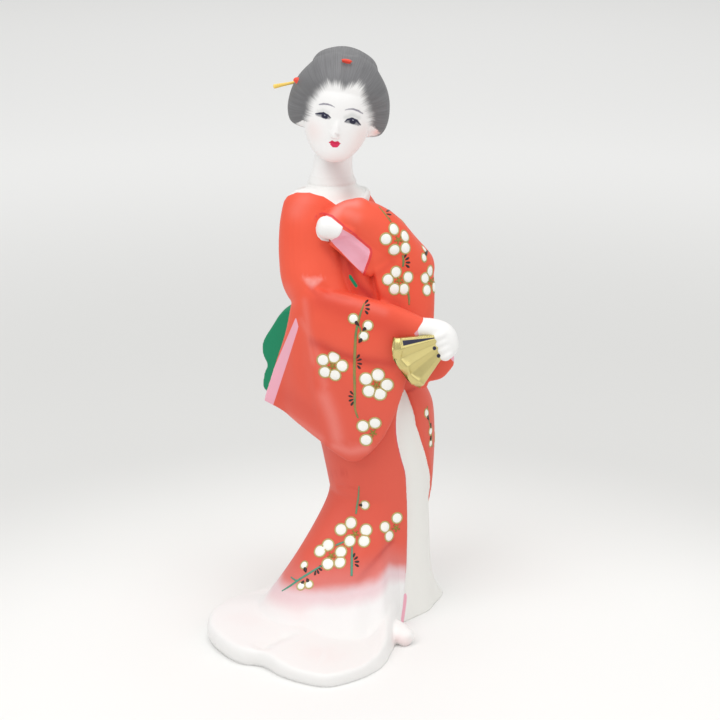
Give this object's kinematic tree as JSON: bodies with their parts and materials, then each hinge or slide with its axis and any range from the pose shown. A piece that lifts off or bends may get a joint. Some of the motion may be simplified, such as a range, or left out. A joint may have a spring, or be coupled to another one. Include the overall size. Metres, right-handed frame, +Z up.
{
  "type": "hakata doll",
  "caption": "Standing painted clay doll of a woman in a trailing blossom-patterned kimono, holding a folding fan, with one sleeve raised to her shoulder.",
  "frame": {"origin": "middle of the footprint's bounding rectangle, on the surface the doll stands on", "axes": "+Z up the doll, -Y towards the viewer that her face looks at, +X to that viewer's right"},
  "size_m": [0.1296, 0.1607, 0.3],
  "materials": {
    "figure": "matt painted bisque clay, vermilion kimono fading to white at the hem, white skin and dark grey hair",
    "folding_fan": "bright gilding",
    "hairpin": "glossy yellow enamel"
  },
  "bodies": {
    "root": {"figure": "figure", "folding_fan": "folding_fan", "hairpin": "hairpin"}
  },
  "joints": []
}
